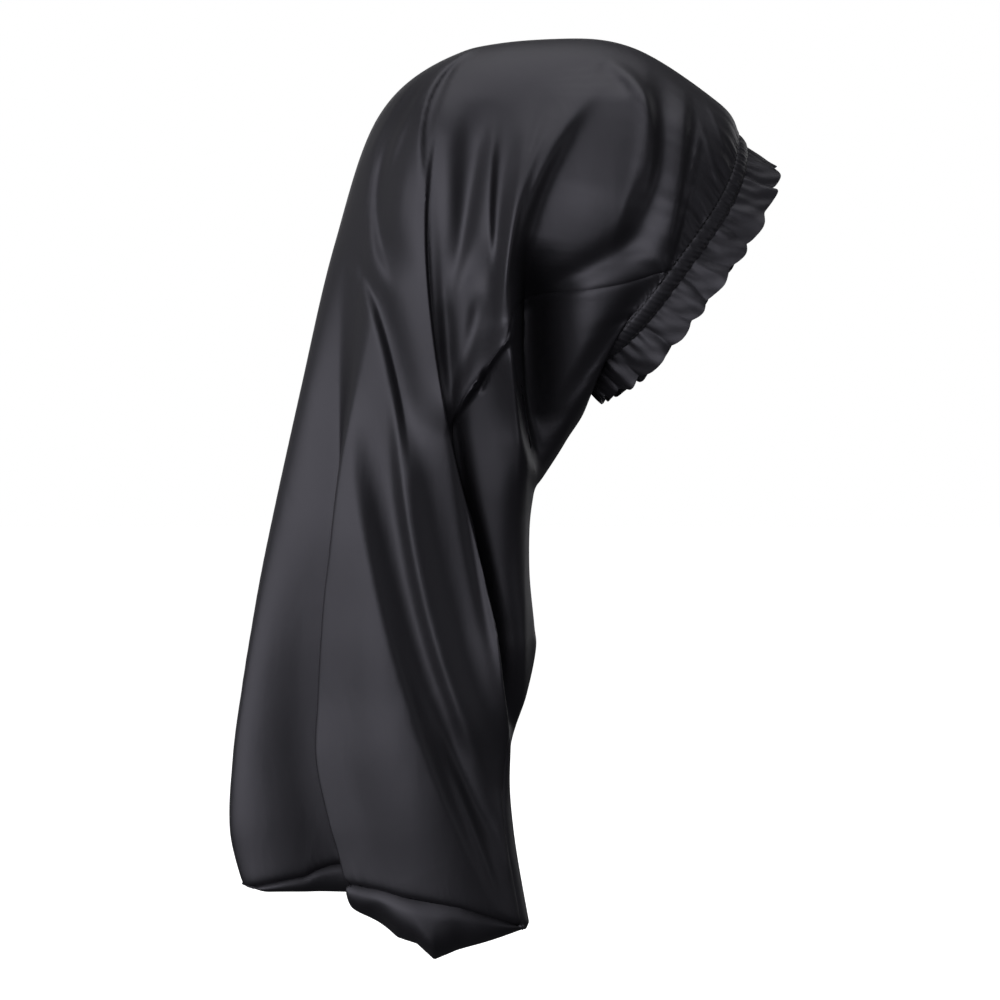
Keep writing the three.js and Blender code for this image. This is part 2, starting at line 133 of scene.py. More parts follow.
# Folds, as curves on the side view: from a start by way of a control point to an end. height is how far a fold
# stands out of the cloth, or sinks in if negative; ahead and behind are its half widths towards the front and the
# back at its end, and splay is how many times wider it starts.
FOLD_COLUMNS = ("side", "y0", "z0", "y1", "z1", "y2", "z2", "height", "ahead", "behind", "splay")
FOLD_ROWS = (
    (NEAR, 45, -127, 56, -203, 38, -286, -40, 32, 4, 0.8),  # dark hollow behind the rolled edge
    (NEAR, -36, -148, -6, -185, 38, -253, -5, 5, 7, 1),  # groove beside the rolled edge of the under panel
    (NEAR, -4, -25, 83, -117, 50, -253, 11, 4.2, 8, 1.8),  # edge that drops from the crown to the pinch
    (NEAR, 61, -179, 53, -223, 40, -288, 11, 3.5, 14, 1),  # edge of the cloth below the pinch
    (NEAR, 47, -234, 49, -326, 49, -458, 14, 4, 24, 1),  # cloth below the pinch, towards the front
    (NEAR, 101, -42, 104, -250, 54, -445, -5, 7, 5, 1),  # shadow beside the lobe
    (NEAR, 35, 10, 133, 0, 109, -109, 7, 2.4, 9, 1),  # top of the lobe
    (NEAR, 40, -35, 61, -113, 64, -192, 5.5, 3, 5.5, 1.8),  # folds that run up from the pinch
    (NEAR, 68, -48, 73, -102, 70, -157, 6.5, 3.2, 10, 1.5),
    (NEAR, 97, -16, 96, -99, 97, -182, 8, 7, 6, 2.4),
    (NEAR, -32, -122, 2, -146, 49, -167, -5, 8, 7, 1.2),  # valley under the bulge
    (NEAR, -23, -10, -33, -68, 3, -148, 9, 8, 38, 1),  # bulge behind the casing
    (NEAR, 6, -13, -54, -36, -14, -131, 7, 5, 7, 0.9),  # arc round the bulge
    (NEAR, -51, -25, -52, -85, -33, -163, 7, 4, 13, 1.1),  # ridge beside the casing
    (NEAR, 51, -184, 72, -205, 102, -253, 9, 2.5, 14, 0.8),  # cloth that laps over the pinch
    (NEAR, 129, -54, 154, -109, 125, -163, -7.5, 12, 5.5, 0.8),  # folds down the lobe
    (NEAR, 156, -135, 127, -186, 118, -278, -7, 12, 4.5, 0.8),
    (NEAR, 163, -211, 156, -389, 51, -586, 13, 9, 38, 1.4),
    (NEAR, 129, -208, 125, -370, 59, -486, 9.5, 13, 6.5, 0.8),
    (NEAR, 105, -413, 84, -481, 59, -519, -3.5, 5, 5, 1),
    (NEAR, 73, -39, 86, -106, 96, -171, -9, 4, 7, 3),  # hollow beside the folds from the pinch
    (FAR, 20, -30, -10, -110, 10, -190, 5, 12, 18, 1),
    (FAR, 90, -60, 110, -180, 130, -330, 8, 10, 22, 1),
    (FAR, 130, -170, 150, -330, 150, -520, -7, 14, 12, 1),
    (FAR, 60, -150, 90, -330, 100, -520, 7, 12, 16, 1),
)

# Creases too small for the solid model, in the same columns
CREASE_ROWS = (
    (NEAR, 3, -17, -6, -23, -18, -42, -2.2, 5, 5, 1),
    (NEAR, -62, -53, -55, -94, -38, -155, 1.6, 1.6, 1.8, 1),
    (NEAR, -59, -47, -67, -79, -74, -102, 0.9, 1.6, 1.4, 1),
    (NEAR, -63, -28, -72, -57, -79, -81, 0.9, 1.8, 1.5, 1),
    (NEAR, 111, -19, 134, -42, 154, -89, 2.2, 3, 3, 1),
    (NEAR, 104, -24, 130, -56, 138, -102, 2.2, 3, 3, 1),
    (NEAR, 123, -21, 149, -52, 163, -103, 1.8, 3, 3.4, 1),
    (NEAR, 99, -451, 81, -495, 63, -548, 2.2, 3, 2.4, 1),
    (NEAR, 76, -161, 78, -186, 96, -235, -2.6, 5, 5, 1),
    (NEAR, 59, -193, 54, -200, 49, -317, 1.8, 3, 3, 1),
    (NEAR, 73, -209, 72, -217, 79, -225, -2.5, 2.4, 2, 1),
    (NEAR, 64, -470, 58, -504, 58, -537, 3, 3, 5, 1),
    (NEAR, 28, -43, 64, -119, 59, -188, 2.6, 2.2, 3.2, 1.3),
)

# And those on the pouch under the hem
POUCH_ROWS = (
    (NEAR, 132, -537, 113, -554, 104, -583, 5, 6, 10, 1),
    (NEAR, 96, -542, 91, -559, 83, -580, -5, 9, 7, 1),
    (NEAR, 148, -542, 138, -556, 129, -575, -5, 6, 7, 1),
)
FOLD_STEPS = 16  # straight stretches that stand for a fold's curve
FOLD_FADE = 0.3  # share of its length over which a fold fades out at each end
FOLD_REACH = 2.6  # half widths from its path at which a fold ends

# Powers by which the bag's half width, the lobe and the folds die away at the outline
BAG_ROUNDING = 0.9
LOBE_ROUNDING = 0.4
FOLD_ROUNDING = 0.5


class BonnetSettings(bpy.types.PropertyGroup):
    cloth: FloatProperty(name="Cloth", description="Thickness of a panel's wall", default=0.0012, unit="LENGTH")
    seam_lap: FloatProperty(name="Seam lap", description="How far a sewn edge laps", default=0.0003, unit="LENGTH")
    rows: IntProperty(name="Rows", description="Rows of faces along a panel", default=372)
    top_columns: IntProperty(name="Top columns", description="Columns of faces across the top panel", default=208)
    cap_rows: IntProperty(name="Cap rows", description="Rows of faces across the bag's bottom", default=35)
    under_columns: IntProperty(name="Under columns", description="Columns across the under panel", default=178)
    colour: FloatVectorProperty(
        name="Satin", description="Colour of the satin", subtype="COLOR", default=(0.005, 0.0048, 0.006)
    )


class TrimSettings(bpy.types.PropertyGroup):
    casing_width: FloatProperty(name="Casing", description="Width of the casing", default=0.011, unit="LENGTH")
    ruffle_width: FloatProperty(name="Ruffle", description="Width of the ruffle", default=0.021, unit="LENGTH")
    waves: IntProperty(name="Waves", description="Waves round the ruffle", default=25)
    swing: FloatProperty(name="Swing", description="How far a wave stands out", default=0.0036, unit="LENGTH")
    stitches: IntProperty(name="Stitches", description="Stitches in each row round the casing", default=150)
    stitch: FloatProperty(name="Stitch", description="Length of a stitch", default=0.0024, unit="LENGTH")
    thread: FloatProperty(name="Thread", description="Thickness of a stitch", default=0.0006, unit="LENGTH")


class StageSettings(bpy.types.PropertyGroup):
    lens: FloatProperty(name="Lens", description="Camera's focal length", default=120.0, unit="CAMERA")
    distance: FloatProperty(name="Distance", description="Camera to bonnet", default=2.1333, unit="LENGTH")
    floor_colour: FloatVectorProperty(
        name="Floor", description="Colour of the floor", subtype="COLOR", default=(0.85, 0.85, 0.85)
    )


# The bag's shape

SECTION_NAMES = (*SECTION_COLUMNS, *SIDE_COLUMNS)
SECTIONS = np.array([(*a, *b) for a, b in zip(SECTION_ROWS, SIDE_ROWS)], float)
FOLDS = [dict(zip(FOLD_COLUMNS, row)) for row in FOLD_ROWS + CREASE_ROWS]
POUCH_FOLDS = [dict(zip(FOLD_COLUMNS, row)) for row in POUCH_ROWS]
LAST = len(SECTIONS) - 1


def smooth(x):
    x = np.clip(x, 0, 1)
    return x * x * (3 - 2 * x)


def table_at(rows, share):
    """The value of a table of (share, value) rows at a share."""
    return np.interp(share, [row[0] for row in rows], [row[1] for row in rows])


def section_at(v):
    """The named values of the section at v, on a smooth curve through the table's rows."""
    v = np.asarray(v, float)
    i = np.clip(np.floor(v).astype(int), 0, LAST - 1)
    u = (v - i)[..., None]
    a, b, c, d = (SECTIONS[np.clip(i + k, 0, LAST)] for k in (-1, 0, 1, 2))
    values = b + 0.5 * u * (c - a + u * (2 * a - 5 * b + 4 * c - d + u * (3 * (b - c) + d - a)))
    section = {name: values[..., k] for k, name in enumerate(SECTION_NAMES)}
    section["chord_y"] = section["fore_y"] - section["rear_y"]
    section["chord_z"] = section["fore_z"] - section["rear_z"]
    section["chord"] = np.hypot(section["chord_y"], section["chord_z"])
    return section


def fold_lift(fold, y, z):
    """How far one fold lifts the cloth at points of the side view."""
    u = np.linspace(0, 1, FOLD_STEPS + 1)
    a, b, c = (1 - u) ** 2, 2 * u * (1 - u), u * u
    path_y = a * fold["y0"] + b * fold["y1"] + c * fold["y2"]
    path_z = a * fold["z0"] + b * fold["z1"] + c * fold["z2"]
    reach = FOLD_REACH * max(fold["ahead"], fold["behind"]) * max(fold["splay"], 1)
    close = (y > path_y.min() - reach) & (y < path_y.max() + reach)
    close &= (z > path_z.min() - reach) & (z < path_z.max() + reach)
    lift = np.zeros(y.shape)
    y, z = y[close], z[close]
    nearest = np.full(y.shape, np.inf)
    along = np.zeros(y.shape)
    ahead = np.zeros(y.shape, bool)
    for i in range(FOLD_STEPS):
        dy, dz = path_y[i + 1] - path_y[i], path_z[i + 1] - path_z[i]
        k = np.clip(((y - path_y[i]) * dy + (z - path_z[i]) * dz) / (dy * dy + dz * dz), 0, 1)
        ey, ez = y - path_y[i] - k * dy, z - path_z[i] - k * dz
        distance = np.hypot(ey, ez)
        closer = distance < nearest
        nearest = np.where(closer, distance, nearest)
        along = np.where(closer, (i + k) / FOLD_STEPS, along)
        ahead = np.where(closer, ey * dz - ez * dy > 0, ahead)
    width = np.where(ahead, fold["ahead"], fold["behind"]) * (fold["splay"] + (1 - fold["splay"]) * along)
    end = np.minimum(along, 1 - along) / FOLD_FADE
    lift[close] = fold["height"] * smooth(end) * np.exp(-((nearest / width) ** 2))
    return lift


def waves_of(place, table):
    """A sum of waves round the bag, with (count, size, phase) for each."""
    return sum(size * np.sin(math.pi * count * place + phase) for count, size, phase in table)


GATHER_WAVES = ((37, 0.5, 0.0), (53, 0.35, 1.3), (23, 0.45, 2.1), (71, 0.2, 0.7))
PUCKER_WAVES = ((163, 0.4, 0.0), (117, 0.35, 2.0), (211, 0.3, 1.1))
RIM_SPACING = 23.0  # length of cloth between the first two sections
SEAM_SPACING = 40.0  # length of cloth between the last two
LONG_GATHERS = (1.1, 8)  # height, and distance from the edge where it is reached
SHORT_GATHERS = (0.7, 3)
HEM_PUCKERS = (0.3, 3)


def swelling(distance, height, peak):
    """A height that grows from an edge to its peak and then dies away."""
    return height * distance / peak * np.exp(1 - distance / peak)


def gather_lift(v, w):
    """Fine gathers that run back from the casing, and puckers along the bottom seam."""
    rim = v * RIM_SPACING
    seam = (LAST - v) * SEAM_SPACING
    long_folds = swelling(rim, *LONG_GATHERS) * waves_of(w, GATHER_WAVES)
    short_folds = swelling(rim, *SHORT_GATHERS) * waves_of(w, PUCKER_WAVES)
    hem = swelling(seam, *HEM_PUCKERS) * waves_of(w, PUCKER_WAVES)
    return long_folds + short_folds + hem


def share_of(w):
    """The share of the way from the rear point to the fore one at a place round the bag."""
    return (1 - np.cos(np.pi * np.abs(w))) / 2


def place_of(share):
    """The place on the far side at a share of the way from the rear point."""
    return np.arccos(1 - 2 * np.clip(share, 0, 1)) / np.pi


def turned(w):
    """Places past the fore point, counted again from the near side."""
    return np.where(w > 1, w - 2, w)


def cloth_point(v, place, folded=True):
    """The cloth's outer surface. v counts sections from the face opening and w goes round the bag: 0 is the rear, -1
    and 1 are the fore, and the near side lies between -1 and 0."""
    v, place = np.broadcast_arrays(np.asarray(v, float), np.asarray(place, float))
    w = turned(place)
    s = section_at(v)
    near = w < 0
    share = share_of(w)
    open_ = np.abs(np.sin(np.pi * w))
    depth = np.where(near, s["near"], s["far"]) * open_**BAG_ROUNDING
    along = share * s["chord"]
    rise = np.maximum(s["rise"], 0) * near
    rear = (share - s["lobe_rear"]) * s["chord"]
    fore = (share - s["lobe_fore"]) * s["chord"]
    step = [smooth((d / soft + 1) / 2) for d, soft in ((rear, s["rear_soft"]), (fore, FORE_SOFT))]
    roll = 1 - np.exp(-np.maximum(rear, 0) / LOBE_ROLL)
    lobe = (LOBE_EDGE * step[0] + (1 - LOBE_EDGE) * roll) * (1 - step[1])
    lobe = lobe - LOBE_HOLLOW * (1 - step[0]) * np.exp(-((rear / LOBE_HOLLOW_WIDTH) ** 2))
    depth = depth + rise * lobe * open_**LOBE_ROUNDING
    for distance, soft in ((rear, s["rear_soft"]), (fore, FORE_SOFT)):
        steps = distance / soft
        along = along - FORE_SOFT / soft * LOBE_LEAN * rise * open_ * steps * np.exp((1 - steps * steps) / 2)
    middle = np.sin(np.pi * share ** (np.log(0.5) / np.log(s["bow_at"])))
    bow = s["bow"] * (1 - (1 - middle) ** 2)
    low = near * smooth(v - LAST + 1)
    bow = bow + low * (table_at(HEM_ROWS, share) - bow)
    y = s["rear_y"] + (s["chord_y"] * along + s["chord_z"] * bow) / s["chord"]
    z = s["rear_z"] + (s["chord_z"] * along - s["chord_y"] * bow) / s["chord"]
    if folded:
        lift = gather_lift(v, w)
        for fold in FOLDS:
            lift = lift + np.where(near == (fold["side"] == NEAR), 1, 0) * fold_lift(fold, y, z)
        depth = depth + lift * open_**FOLD_ROUNDING
    return np.stack([np.where(near, -1, 1) * depth, y, z], -1)


def unit(vectors):
    return vectors / np.maximum(np.linalg.norm(vectors, axis=-1, keepdims=True), 1e-9)


def grid_normals(grid, closed_round=False):
    if closed_round:
        across = np.roll(grid, -1, 1) - np.roll(grid, 1, 1)
    else:
        across = np.gradient(grid, axis=1)
    return unit(np.cross(across, np.gradient(grid, axis=0)))


PLACE_SAMPLES = 500
ROW_SAMPLES = 400
ROW_EXTRA = 0.3  # keeps rows from thinning out where two sections nearly meet
NEAR_EXTRA = 0.9  # how many more columns lie on the near side, as a share
NEAR_BLEND = 0.1  # part of the turn over which they begin
BUNCH_RISE = 12.0  # rise of the lobe that doubles the columns at its edges


def places_of(v, start, end, count, near_extra=NEAR_EXTRA):
    """Places round the sections, closer together at the lobe's edges. v, start and end have one value a row."""
    u = np.linspace(0, 1, PLACE_SAMPLES)
    w = start[:, None] + (end - start)[:, None] * u
    points = cloth_point(v[:, None], w, False)
    s = section_at(v)
    density = 1 + near_extra * smooth(0.5 - turned(w) / NEAR_BLEND)
    for name in ("lobe_rear", "lobe_fore"):
        distance = (share_of(turned(w)) - s[name][:, None]) * s["chord"][:, None]
        bunch = np.maximum(s["rise"], 0)[:, None] / BUNCH_RISE * np.exp(-((distance / (2 * FORE_SOFT)) ** 2))
        density += np.where(turned(w) < 0, bunch, 0)
    lengths = np.linalg.norm(np.diff(points, axis=1), axis=-1) * (density[:, 1:] + density[:, :-1]) / 2
    weights = np.concatenate([np.zeros((len(v), 1)), np.cumsum(lengths, 1)], 1)
    targets = np.linspace(0, 1, count + 1)
    return np.array([np.interp(targets * row[-1], row, places) for row, places in zip(weights, w)])


def row_places(rows, last):
    """Values of v about evenly spaced along the cloth."""
    v = np.linspace(0, last, ROW_SAMPLES)
    s = section_at(v)
    rear = np.hypot(np.diff(s["rear_y"]), np.diff(s["rear_z"]))
    fore = np.hypot(np.diff(s["fore_y"]), np.diff(s["fore_z"]))
    length = np.concatenate([[0], np.cumsum(rear + fore + ROW_EXTRA)])
    return np.interp(np.linspace(0, length[-1], rows + 1), length, v)


SMALL_TURN = 0.004  # a step round the bag, for measuring along it
LEAST_SPAN = 1e-3


def drawn_in(v, start, end, gap):
    """Both ends of the turn between the seams, drawn in by a gap."""

    def turn(w):
        span = np.linalg.norm(cloth_point(v, w + SMALL_TURN) - cloth_point(v, w), axis=-1)
        return gap * SMALL_TURN / np.maximum(span, LEAST_SPAN)

    return start + turn(start), end - turn(end)


# Meshes

SEAM_ROLL = 0.9  # how deep a sewn edge rolls in, and over what width
SEAM_ROLL_WIDTH = 1.5
HEM_ROLL = 3.2
HEM_ROLL_WIDTH = 2.0
SHARP_EDGE = math.radians(62)  # edges that turn by more stay sharp


def wall_mesh(name, outer, inner, closed_round=False):
    """A closed wall between two grids of points in millimetres, with the cloth's own lengths as its UV map. The inner
    grid may be coarser by a whole step."""
    rows, columns = outer.shape[:2]
    inner_rows, inner_columns = inner.shape[:2]
    step = round((rows - 1) / (inner_rows - 1))
    points = np.concatenate([outer.reshape(-1, 3), inner.reshape(-1, 3)]) * MM

    def face(row, column):
        return row * columns + column % columns

    def back(row, column):
        return rows * columns + row * inner_columns + column % inner_columns

    def cells(down, across):
        i, j = np.meshgrid(np.arange(down), np.arange(across), indexing="ij")
        return i.ravel(), j.ravel()

    across = columns if closed_round else columns - 1
    i, j = cells(rows - 1, across)
    faces = np.stack([face(i, j), face(i, j + 1), face(i + 1, j + 1), face(i + 1, j)], 1).tolist()
    inner_across = inner_columns if closed_round else inner_columns - 1
    i, j = cells(inner_rows - 1, inner_across)
    faces += np.stack([back(i, j), back(i + 1, j), back(i + 1, j + 1), back(i, j + 1)], 1).tolist()
    last, inner_last = rows - 1, inner_rows - 1
    for k in range(inner_across):
        ends = [step * k + m for m in range(step + 1)]
        faces.append([back(0, k), back(0, k + 1), *(face(0, m) for m in reversed(ends))])
        faces.append([*(face(last, m) for m in ends), back(inner_last, k + 1), back(inner_last, k)])
    if not closed_round:
        end, inner_end = columns - 1, inner_columns - 1
        for k in range(inner_rows - 1):
            ends = [step * k + m for m in range(step + 1)]
            faces.append([*(face(m, 0) for m in ends), back(k + 1, 0), back(k, 0)])
            faces.append([back(k, inner_end), back(k + 1, inner_end), *(face(m, end) for m in reversed(ends))])
    mesh = bpy.data.meshes.new(name)
    mesh.from_pydata(points.tolist(), [], faces)
    mesh.shade_smooth()
    mesh.set_sharp_from_angle(angle=SHARP_EDGE)
    u = np.concatenate([[0], np.cumsum(np.linalg.norm(np.diff(outer, axis=1), axis=-1).mean(0) * MM)])
    t = np.concatenate([[0], np.cumsum(np.linalg.norm(np.diff(outer, axis=0), axis=-1).mean(1) * MM)])
    grids = [np.stack(np.meshgrid(t[::n], u[::n], indexing="ij")[::-1], -1).reshape(-1, 2) for n in (1, step)]
    layer = mesh.uv_layers.new(name="Cloth")
    corner = np.empty(len(mesh.loops), np.int32)
    mesh.loops.foreach_get("vertex_index", corner)
    layer.uv.foreach_set("vector", np.concatenate(grids)[corner].astype(np.float32).ravel())
    return mesh


def rolled_in(grid):
    """The grid with its sewn edges rolled in, as cloth turns under at a seam. The last row is the bottom seam."""
    across = np.linalg.norm(np.diff(grid, axis=1), axis=-1)
    down = np.linalg.norm(np.diff(grid, axis=0), axis=-1)
    side = np.concatenate([np.zeros((len(grid), 1)), np.cumsum(across, 1)], 1)
    side = np.minimum(side, side[:, -1:] - side)
    hem = np.concatenate([np.zeros((1, grid.shape[1])), np.cumsum(down, 0)], 0)
    hem = hem[-1:] - hem
    turn = SEAM_ROLL * np.exp(-side / SEAM_ROLL_WIDTH) + HEM_ROLL * np.exp(-hem / HEM_ROLL_WIDTH)
    return grid - grid_normals(grid) * turn[..., None]


def lined(outer, thickness):
    """The cloth's inner face, at half the outer one's fineness."""
    return (outer - grid_normals(outer) * thickness)[::2, ::2]


def add_sheet(mesh, node):
    """Add a sheet of cloth in place of a solid node."""
    piece = bpy.data.objects.new(mesh.name, mesh)
    bpy.context.collection.objects.link(piece)
    mesh.materials.append(satin())
    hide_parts(node)
    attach(piece, "root")


# Materials


class Value:
    """A node socket with arithmetic, so that shader maths reads as an expression."""

    def __init__(self, nodes, socket):
        self.nodes, self.socket = nodes, socket

    def maths(self, operation, *values):
        return self.nodes.add("ShaderNodeMath", {"operation": operation}, *values)

    def __add__(self, other):
        return self.maths("ADD", self, other)

    __radd__ = __add__

    def __mul__(self, other):
        return self.maths("MULTIPLY", self, other)

    __rmul__ = __mul__

    def clamped(self):
        return self.nodes.add("ShaderNodeMath", {"operation": "ADD", "use_clamp": True}, self, 0.0)


class Nodes:
    """A node tree, built one node a call."""

    def __init__(self, tree):
        self.tree = tree
        tree.nodes.clear()

    def add(self, kind, settings=None, *values, output=0, **sockets):
        node = self.tree.nodes.new(kind)
        for name, value in (settings or {}).items():
            setattr(node, name, value)
        for key, value in [*enumerate(values), *sockets.items()]:
            socket = node.inputs[key if isinstance(key, int) else key.replace("_", " ")]
            if isinstance(value, Value):
                self.tree.links.new(value.socket, socket)
            else:
                socket.default_value = value
        return Value(self, node.outputs[output]) if node.outputs else None

    def mix(self, share, first, second):
        """A colour between two others."""
        colour = self.add("ShaderNodeMix", {"data_type": "RGBA"}, share, output=2)
        for socket, value in zip(colour.socket.node.inputs[6:8], (first, second)):
            socket.default_value = (*value, 1.0)
        return colour


def new_material(name):
    material = bpy.data.materials.new(name)
    material.use_nodes = True
    return material, Nodes(material.node_tree)


def satin_material(name, colour):
    """Black satin: a faint lengthwise weave, soft crumples and a broad gloss."""
    material, n = new_material(name)
    cloth = n.add("ShaderNodeUVMap", {"uv_map": "Cloth"})
    place = n.add("ShaderNodeTexCoord", None, output=3)
    threads = n.add("ShaderNodeMapping", None, cloth, Scale=(1500.0, 320.0, 1.0))
    thread = n.add("ShaderNodeTexNoise", None, threads, Scale=1.0, Detail=2.0, Roughness=0.6)
    stretched = n.add("ShaderNodeMapping", None, place, Scale=(40.0, 40.0, 16.0))
    crumple = n.add("ShaderNodeTexNoise", None, stretched, Scale=1.0, Detail=3.0, Roughness=0.4, Distortion=0.4)
    grain = n.add("ShaderNodeTexNoise", None, cloth, Scale=1100.0, Detail=3.0, Roughness=0.7)
    tone = (thread * 0.6 + grain * 0.4).clamped()
    base = n.mix(tone, [c * 0.7 for c in colour], [c * 1.4 for c in colour])
    soft = n.add("ShaderNodeBump", None, Strength=1.0, Distance=0.0006, Height=crumple)
    fine = n.add("ShaderNodeBump", None, Strength=0.4, Distance=0.0001, Height=tone, Normal=soft)
    shader = n.add(
        "ShaderNodeBsdfPrincipled",
        None,
        Base_Color=base,
        Roughness=0.47 + 0.1 * tone,
        Normal=fine,
        IOR=1.5,
        Specular_IOR_Level=0.75,
        Specular_Tint=(0.88, 0.86, 1.0, 1.0),
    )
    n.add("ShaderNodeOutputMaterial", None, shader)
    return material


def thread_material(name):
    material, n = new_material(name)
    place = n.add("ShaderNodeTexCoord", None, output=3)
    twist = n.add("ShaderNodeTexNoise", None, place, Scale=3000.0, Detail=2.0)
    bump = n.add("ShaderNodeBump", None, Strength=0.6, Distance=0.0001, Height=twist)
    shader = n.add(
        "ShaderNodeBsdfPrincipled",
        None,
        Base_Color=(0.006, 0.006, 0.007, 1.0),
        Roughness=0.5 + 0.2 * twist,
        Normal=bump,
    )
    n.add("ShaderNodeOutputMaterial", None, shader)
    return material


def satin():
    made = bpy.data.materials.get("black satin")
    return made or satin_material("black satin", bpy.context.scene.bonnet.colour)


# Operators


class BONNET_OT_top_panel(bpy.types.Operator):
    """Add the top panel, from the top of the face opening to the bottom seam"""

    bl_idname = "bonnet.top_panel"
    bl_label = "Top panel"

    def execute(self, context):
        b = context.scene.bonnet
        gap = -b.seam_lap / MM
        v = row_places(b.rows, LAST)
        s = section_at(v)
        start, end = drawn_in(v, -place_of(s["near_seam"]), place_of(s["far_seam"]), gap / 2)
        outer = rolled_in(cloth_point(v[:, None], places_of(v, start, end, b.top_columns)))
        mesh = wall_mesh("top_panel_satin", outer, lined(outer, b.cloth / MM))
        add_sheet(mesh, "top_panel")
        return {"FINISHED"}


REAR_TURN = 0.15  # shares of the bottom over which the under panel's columns turn round the corners
FORE_TURN = 0.4
CAP_LIFT = 0.08  # how far above the last section the bag's bottom starts, in sections
CAP_CORNER = 0.1  # share of the bottom over which its sag starts and ends
CAP_ROUNDING = 0.75  # power by which the sag dies away at the seam
POUCH_START = 0.3  # share of the way under at which the pouch's creases begin


class BONNET_OT_under_panel(bpy.types.Operator):
    """Add the under panel, from the foot of the face opening down and up to the bottom seam"""

    bl_idname = "bonnet.under_panel"
    bl_label = "Under panel"

    def execute(self, context):
        b = context.scene.bonnet
        gap = -b.seam_lap / MM
        v = row_places(b.rows - b.cap_rows, LAST - CAP_LIFT)
        s = section_at(v)
        start, end = drawn_in(v, place_of(s["far_seam"]), 2 - place_of(s["near_seam"]), gap / 2)
        places = places_of(v, start, end, b.under_columns)
        body = cloth_point(v[:, None], places)
        w = places[-1]
        turn = (w - w[0]) / (w[-1] - w[0])
        line = section_at(np.array(float(LAST)))
        rear_place, fore_place = place_of(line["far_seam"]), place_of(line["near_seam"])
        rear = 2 * rear_place * np.maximum(0, 1 - turn / REAR_TURN) ** 2
        fore = 2 * (1 - fore_place) * np.maximum(0, 1 - (1 - turn) / FORE_TURN) ** 2
        meets = np.clip(rear + fore - w, -fore_place, rear_place)
        hem = cloth_point(LAST, meets) - [0, 0, gap]
        share = share_of(turned(w))
        lowest = line["rear_z"] + line["chord_z"] * share - table_at(SAG_ROWS, share)
        middle = (body[-1, :, 2] + hem[:, 2]) / 2
        dip = np.maximum(0, middle - lowest) * smooth(np.minimum(turn, 1 - turn) / CAP_CORNER)
        u = np.linspace(0, 1, b.cap_rows + 1)[1:, None]
        arc = np.pi * u
        x = (body[-1, :, 0] + hem[:, 0]) / 2 + (body[-1, :, 0] - hem[:, 0]) / 2 * np.cos(arc)
        y = body[-1, :, 1] + (hem[:, 1] - body[-1, :, 1]) * u
        z = body[-1, :, 2] + (hem[:, 2] - body[-1, :, 2]) * u - dip * np.maximum(np.sin(arc), 0) ** CAP_ROUNDING
        x = x - sum(fold_lift(fold, y, z) for fold in POUCH_FOLDS) * smooth(2 * u - 2 * POUCH_START) * np.sin(arc)
        outer = rolled_in(np.concatenate([body, np.stack([x, y, z], -1)]))
        mesh = wall_mesh("under_panel_satin", outer, lined(outer, b.cloth / MM))
        add_sheet(mesh, "under_panel")
        return {"FINISHED"}


# The casing and the ruffle go on from the face opening.
RIM_TAPER = 0.3  # how much they lean in towards the face
CASING_INSET = 1.6  # how far the casing's edges lie inside the panels' outer surface
CASING_POINTS = 1400  # round the opening
CASING_WALL = 1.6  # thickness of the casing over the elastic
RUFFLE_FLARE = 7.0  # how far the ruffle's edge stands out from the line of the casing
RUFFLE_INSET = 0.5  # how much deeper than the casing's edge it starts
RUFFLE_ROWS = 29
RUFFLE_POINTS = 1500
RUFFLE_WALL = 0.6
UNEVEN_WAVES = ((3, 0.30), (7, 0.22), (13, 0.16), (23, 0.10))  # times round the opening, and size
UNEVEN_SHIFT = 0.37  # turn between those waves


def rim_frames(count):
    """Points round the face opening, with the directions ahead and out of the rim there."""
    rim = {name: float(value) for name, value in section_at(np.array(0.0)).items()}
    forward = np.array([0, rim["chord_z"], -rim["chord_y"]]) / rim["chord"]
    centre = np.array([0, (rim["rear_y"] + rim["fore_y"]) / 2, (rim["rear_z"] + rim["fore_z"]) / 2])
    w = places_of(np.zeros(1), -np.ones(1), np.ones(1), count, 0)[0][1:][::-1]
    origin = cloth_point(0, w, False)
    tangent = unit(cloth_point(0, w + SMALL_TURN, False) - cloth_point(0, w - SMALL_TURN, False))
    inwards = centre - origin
    inwards = unit(inwards - (inwards @ forward)[:, None] * forward)
    ahead = forward + RIM_TAPER * inwards
    ahead = unit(ahead - (ahead * tangent).sum(-1, keepdims=True) * tangent)
    return origin, ahead, unit(np.cross(ahead, tangent))


def uneven(turn, count, seed):
    """The phase of waves round the opening, pushed about so that they aren't all alike."""
    phase = np.zeros_like(turn)
    for k, (times, size) in enumerate(UNEVEN_WAVES):
        phase = phase + size * np.sin(2 * np.pi * (times * turn + seed * (k + 1) * UNEVEN_SHIFT))
    return 2 * np.pi * count * turn + phase * 2


def even(turn, times, shift=0):
    """Waves all alike round the opening."""
    return np.sin(2 * np.pi * times * turn + shift)


def rim_band(profile, count, thick, shape):
    """A closed band round the opening. profile gives rows of (distance from the panels, height above the rim)."""
    origin, ahead, out = rim_frames(count)
    turn = np.arange(count) / count
    rows = []
    for row, (distance, height) in enumerate(profile):
        further, higher = shape(turn, row / (len(profile) - 1))
        rows.append(origin + ahead * (distance + further)[:, None] + out * (height + higher)[:, None])
    outer = np.array(rows)
    return outer, outer - grid_normals(outer, True) * thick


CASING_ROWS = 29
STITCHED_ROWS = (3, -4)  # rows of the casing's points that the stitches follow
CASING_BULGE = 1.3  # how far its middle stands out over the elastic
STITCH_DEPTH = 0.35  # how far a row of stitches draws it in
STITCH_PULL = 0.06  # over what share of the width
CASING_GATHER = 0.36  # height of its gathers
CASING_SHIFT = 0.25  # how far fine gathers push it along, as a share of their height


